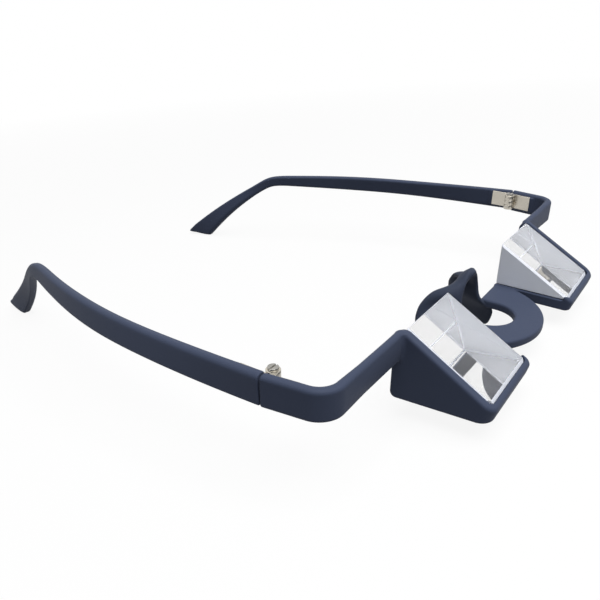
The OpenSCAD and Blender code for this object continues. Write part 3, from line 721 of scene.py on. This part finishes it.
def makeTemple(side, node):
    # A section with four corner radii is carried along the line; near the hinge it is drawn
    # in by a rounded edge, and at the tip its lower side rises along the slanted cut
    q = temple
    edge = q["endEdge"]
    lift = np.radians(np.linspace(0, 90, q["edgeRings"]))
    tipStart = q["tipEnd"] - q["tipRun"]
    edgeS = q["splitHalf"] + edge * (1 - np.cos(lift))
    bodyS = np.arange(q["splitHalf"] + edge + q["ringStep"] / 2, tipStart, q["ringStep"])
    tipS = tipStart + q["tipRun"] * np.linspace(0, 1, q["tipRings"]) ** q["tipCrowding"]
    s = np.concatenate([edgeS, bodyS, tipS])
    inset = np.concatenate([edge * (1 - np.sin(lift)), np.zeros(len(bodyS) + len(tipS))])
    place, way, turn = templeLine(s)
    high = curveAt(q["heights"], s / q["length"])
    cutLength = q["tipHeight"] / math.tan(math.radians(q["tipCut"]))
    x = np.clip(1 - (q["length"] - s) / cutLength, 0, 1)
    under = high / 2 * (2 * (1 - x ** q["tipBulge"]) ** (1 / q["tipBulge"]) - 1) - inset
    past = np.clip((s - q["tipEnd"] + q["tipRound"]) / q["tipRound"], 0, 1)
    # A quarter circle, stopped short of where it would stand upright
    drawn = 1 - np.sqrt(1 - past ** 2 * q["tipUpright"])
    top = high / 2 - inset - q["tipDrop"] * drawn
    grown = np.clip((s / q["length"] - q["thickFrom"]) / q["thickRun"], 0, 1)
    thick = q["thick"] + (q["tipThick"] - q["thick"]) * grown ** 2 * (3 - 2 * grown)
    half = thick / 2 - inset - q["tipDraw"] * drawn
    cant = np.radians(curveAt(q["cant"], s / q["length"]))[:, None]
    out = np.stack([np.cos(turn), np.sin(turn), 0 * turn], -1)
    up = np.cross(out, way)
    across = out * np.cos(cant) - up * np.sin(cant)
    rise = up * np.cos(cant) + out * np.sin(cant)
    points = np.stack([place + across * u[:, None] + rise * v[:, None]
                       for u, v in templeRing(half, top, under, inset)], 1)
    faces = tubeFaces(*points.shape[:2])
    points = points.reshape(-1, 3)
    bossPoints, bossFaces = bossBlock()
    faces += [[i + len(points) for i in face] for face in bossFaces]
    points = np.vstack([points, bossPoints])
    if side < 0:
        points, faces = mirrored(points, faces)
    word = "left" if side > 0 else "right"
    piece = newPiece(word + "Temple", points, faces, [finishes["paint"]], word + "_arm",
                     node)
    piece.data.set_sharp_from_angle(angle=math.radians(40))
    facingOut(piece)
    print(piece.name + ":", len(points), "points")


# Boss for the hinge plate, a little lower than the plate's face
templeBoss = {
    "face": 1.88, "start": 0.2, "length": 7.8, "slantX": 2.7, "rootX": 3.3, "slant": 1.6,
    "low": 6.6, "high": 12.0, "edge": 0.28}


def bossBlock():  # the plan drawn up between two heights, with all its edges rounded
    b = templeBoss
    far = b["length"] + b["slant"]
    plan = [(b["face"], b["start"]), (b["face"], b["length"]), (b["slantX"], far),
            (b["rootX"], far), (b["rootX"], b["start"])]
    shape = bmesh.new()
    lower, upper = ([shape.verts.new((front["hingeX"] + u, front["hingeY"] + v, z))
                     for u, v in plan] for z in (b["low"], b["high"]))
    shape.faces.new(lower[::-1])
    shape.faces.new(upper)
    for i in range(len(plan)):
        j = (i + 1) % len(plan)
        shape.faces.new([lower[i], lower[j], upper[j], upper[i]])
    bmesh.ops.recalc_face_normals(shape, faces=shape.faces)
    bmesh.ops.bevel(shape, geom=shape.edges, offset=b["edge"], segments=3, profile=0.5,
                    affect="EDGES")
    return pointsAndFaces(shape)


makeTemple(-1, "right_temple")
makeTemple(1, "left_temple")


hinge = {"bevel": 0.12, "segments": 2, "angle": 40}  # broken edge of the metal parts, in mm


def makeHingePart(name, node, body, finish):
    # The CAD solid's own faces, merged into one closed mesh, with its edges broken
    mesh = frame["nodes"][node].data.copy()
    mesh.name = name
    mesh.materials.clear()
    mesh.materials.append(finishes[finish])
    shape = bmesh.new()
    shape.from_mesh(mesh)
    bmesh.ops.remove_doubles(shape, verts=shape.verts, dist=2e-6)  # metres
    bmesh.ops.dissolve_limit(shape, angle_limit=math.radians(1), verts=shape.verts,
                             edges=shape.edges)
    shape.to_mesh(mesh)
    shape.free()
    mesh.polygons.foreach_set("use_smooth", np.ones(len(mesh.polygons), bool))
    piece = newObject(name, mesh)
    bevel = piece.modifiers.new("brokenEdges", "BEVEL")
    bevel.width = hinge["bevel"] / 1000
    bevel.segments = hinge["segments"]
    bevel.limit_method = "ANGLE"
    bevel.angle_limit = math.radians(hinge["angle"])
    bevel.harden_normals = True
    fasten(piece, body, node)


for side in ("right", "left"):
    makeHingePart(side + "FrontHingePlate", side + "_front_hinge_leaf", "front", "leaf")
    makeHingePart(side + "TempleHingePlate", side + "_temple_hinge_leaf", side + "_arm", "leaf")
    screwNode = side + "_hinge_screw"
    makeHingePart(side + "HingeScrew", screwNode, frame["nodes"][screwNode]["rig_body"], "screw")
print("hinges made")


studio = {
    "floor": 40.0, "floorTone": 0.22, "floorWhite": 0.82, "shownWhite": 0.9, "worldLight": 0.15,
    "shadeFrom": 0.2, "shadeTo": 0.8, "shadeGlow": 0.9,
    "keyPlace": (-0.05, -0.3, 0.75), "keySize": 0.9, "keyPower": 9.0}


def backdropRays(tree):
    # Rays that show the backdrop find it white, and glass and metal show it a shade darker
    # than the camera sees it. Gives: seen by the camera, seen at all, and how white.
    path = addNode(tree, "ShaderNodeLightPath").outputs
    seen = addNode(tree, "ShaderNodeMath", {},
                   {0: path["Is Camera Ray"], 1: path["Is Glossy Ray"]}, operation="MAXIMUM")
    seen = addNode(tree, "ShaderNodeMath", {},
                   {0: seen.outputs[0], 1: path["Is Transmission Ray"]}, operation="MAXIMUM")
    white = addNode(tree, "ShaderNodeMapRange", {"To Min": studio["shownWhite"], "To Max": 1.0},
                    {"Value": path["Is Camera Ray"]})
    return path["Is Camera Ray"], seen.outputs[0], white.outputs["Result"]


def makeFloor():
    size = studio["floor"]
    mesh = bpy.data.meshes.new("floor")
    mesh.from_pydata([(-size, -size, 0), (size, -size, 0), (size, size, 0), (-size, size, 0)],
                     [], [(0, 1, 2, 3)])
    material, tree = newMaterial("paleBackdropPaper")
    place = addNode(tree, "ShaderNodeTexCoord").outputs["Object"]
    byCamera, seen, white = backdropRays(tree)
    # The paper is white to the camera and grey to the light it bounces on to the object
    tone = addNode(tree, "ShaderNodeMapRange",
                   {"To Min": studio["floorTone"], "To Max": studio["floorWhite"]},
                   {"Value": byCamera})
    paper = addNode(tree, "ShaderNodeBsdfDiffuse", {}, {"Color": tone.outputs["Result"]})
    glow = addNode(tree, "ShaderNodeEmission", {"Color": (1, 1, 1, 1)}, {"Strength": white})
    # It glows where it is seen, with a share of its own shade near the object for the shadow
    away = addNode(tree, "ShaderNodeVectorMath", {}, {0: place}, operation="LENGTH")
    far = addNode(tree, "ShaderNodeMapRange",
                  {"From Min": studio["shadeFrom"], "From Max": studio["shadeTo"],
                   "To Min": studio["shadeGlow"], "To Max": 1.0},
                  {"Value": away.outputs["Value"]})
    share = addNode(tree, "ShaderNodeMath", {}, {0: seen, 1: far.outputs["Result"]},
                    operation="MULTIPLY")
    light = addNode(tree, "ShaderNodeMixShader", {},
                    {0: share.outputs[0], 1: paper.outputs[0], 2: glow.outputs[0]})
    addNode(tree, "ShaderNodeOutputMaterial", {}, {"Surface": light.outputs[0]})
    mesh.materials.append(material)
    newObject("floor", mesh)


def makeWorld():
    world = bpy.data.worlds.new("studioAir")
    bpy.context.scene.world = world
    world.use_nodes = True
    tree = world.node_tree
    tree.nodes.clear()
    _, seen, white = backdropRays(tree)
    air = addNode(tree, "ShaderNodeBackground",
                  {"Color": (0.97, 0.985, 1.0, 1), "Strength": studio["worldLight"]})
    shown = addNode(tree, "ShaderNodeBackground", {"Color": (1, 1, 1, 1)}, {"Strength": white})
    both = addNode(tree, "ShaderNodeMixShader", {},
                   {0: seen, 1: air.outputs[0], 2: shown.outputs[0]})
    addNode(tree, "ShaderNodeOutputWorld", {}, {"Surface": both.outputs[0]})


def setMatrix(item, axes, place):
    matrix = np.eye(4)
    matrix[:3, :3], matrix[:3, 3] = np.transpose(axes), place
    item.matrix_world = Matrix(matrix.tolist())


def makeLamp():  # a round softbox over the table, aimed at its middle
    lamp = bpy.data.lights.new("overheadSoftbox", "AREA")
    lamp.shape = "DISK"
    lamp.size = studio["keySize"]
    lamp.energy = studio["keyPower"]
    away = unit(np.array(studio["keyPlace"]))
    side = unit(np.cross((0.01, 1.0, 0.02), away))
    setMatrix(newObject("overheadSoftbox", lamp), [side, np.cross(away, side), away],
              studio["keyPlace"])


view = {"azimuth": -0.962934, "elevation": 0.460354, "roll": 0.002598,  # radians, as worn
        "place": (-158.167, -50.767, 80.904), "lens": 37.8, "near": 0.005}


def makeCamera():
    az, el, roll = view["azimuth"], view["elevation"], view["roll"]
    away = np.array([math.sin(az) * math.cos(el), -math.cos(az) * math.cos(el), math.sin(el)])
    right = unit(np.cross(-away, (0, 0, 1)))
    up = np.cross(right, -away)
    right, up = (math.cos(roll) * right + math.sin(roll) * up,
                 math.cos(roll) * up - math.sin(roll) * right)
    lens = bpy.data.cameras.new("photoCamera")
    lens.lens = view["lens"]
    lens.sensor_width = 36
    lens.sensor_fit = "HORIZONTAL"
    lens.clip_start = view["near"]
    camera = newObject("photoCamera", lens)
    setMatrix(camera, tilted([right, up, away]), onTable([view["place"]])[0])
    bpy.context.scene.camera = camera


makeCamera()
makeFloor()
makeWorld()
makeLamp()
bpy.context.scene.view_settings.view_transform = "Standard"
print("studio made")
